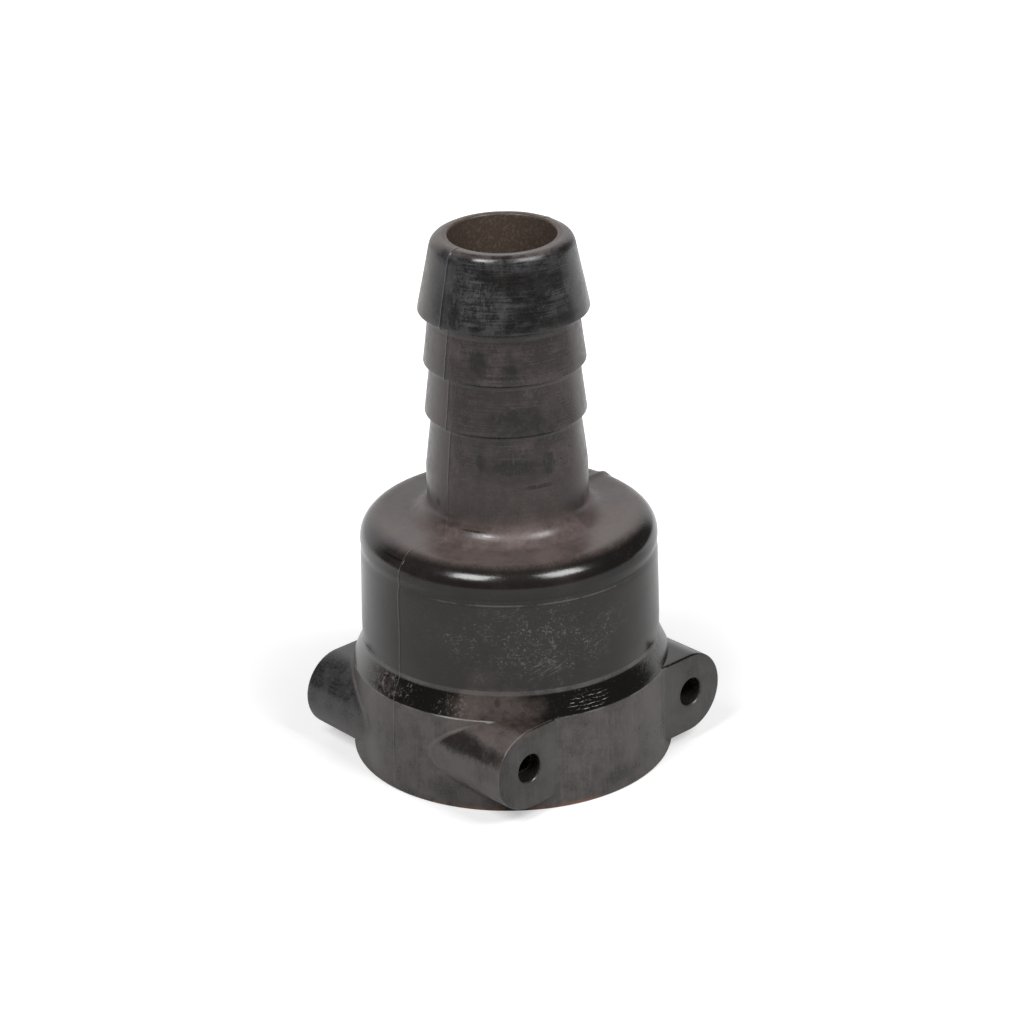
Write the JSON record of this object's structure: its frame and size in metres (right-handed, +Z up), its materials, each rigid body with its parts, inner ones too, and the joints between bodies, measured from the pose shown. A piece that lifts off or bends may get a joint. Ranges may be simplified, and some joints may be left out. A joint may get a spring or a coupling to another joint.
{
  "type": "hose barb",
  "caption": "Moulded plastic hose tail: a barbed spigot above a round socket, with drilled side lugs for a fork-shaped retaining clip.",
  "frame": {"origin": "centre of the mouth's rim, on the plane that the part stands on", "axes": "+Z up the axis from the socket's mouth to the tail's nose; the fork holes run along Y, one on each side of the YZ plane"},
  "size_m": [0.0507, 0.0506, 0.085],
  "materials": {
    "body": "worn satin black"
  },
  "bodies": {
    "root": {"hose_barb": "body"}
  },
  "joints": []
}
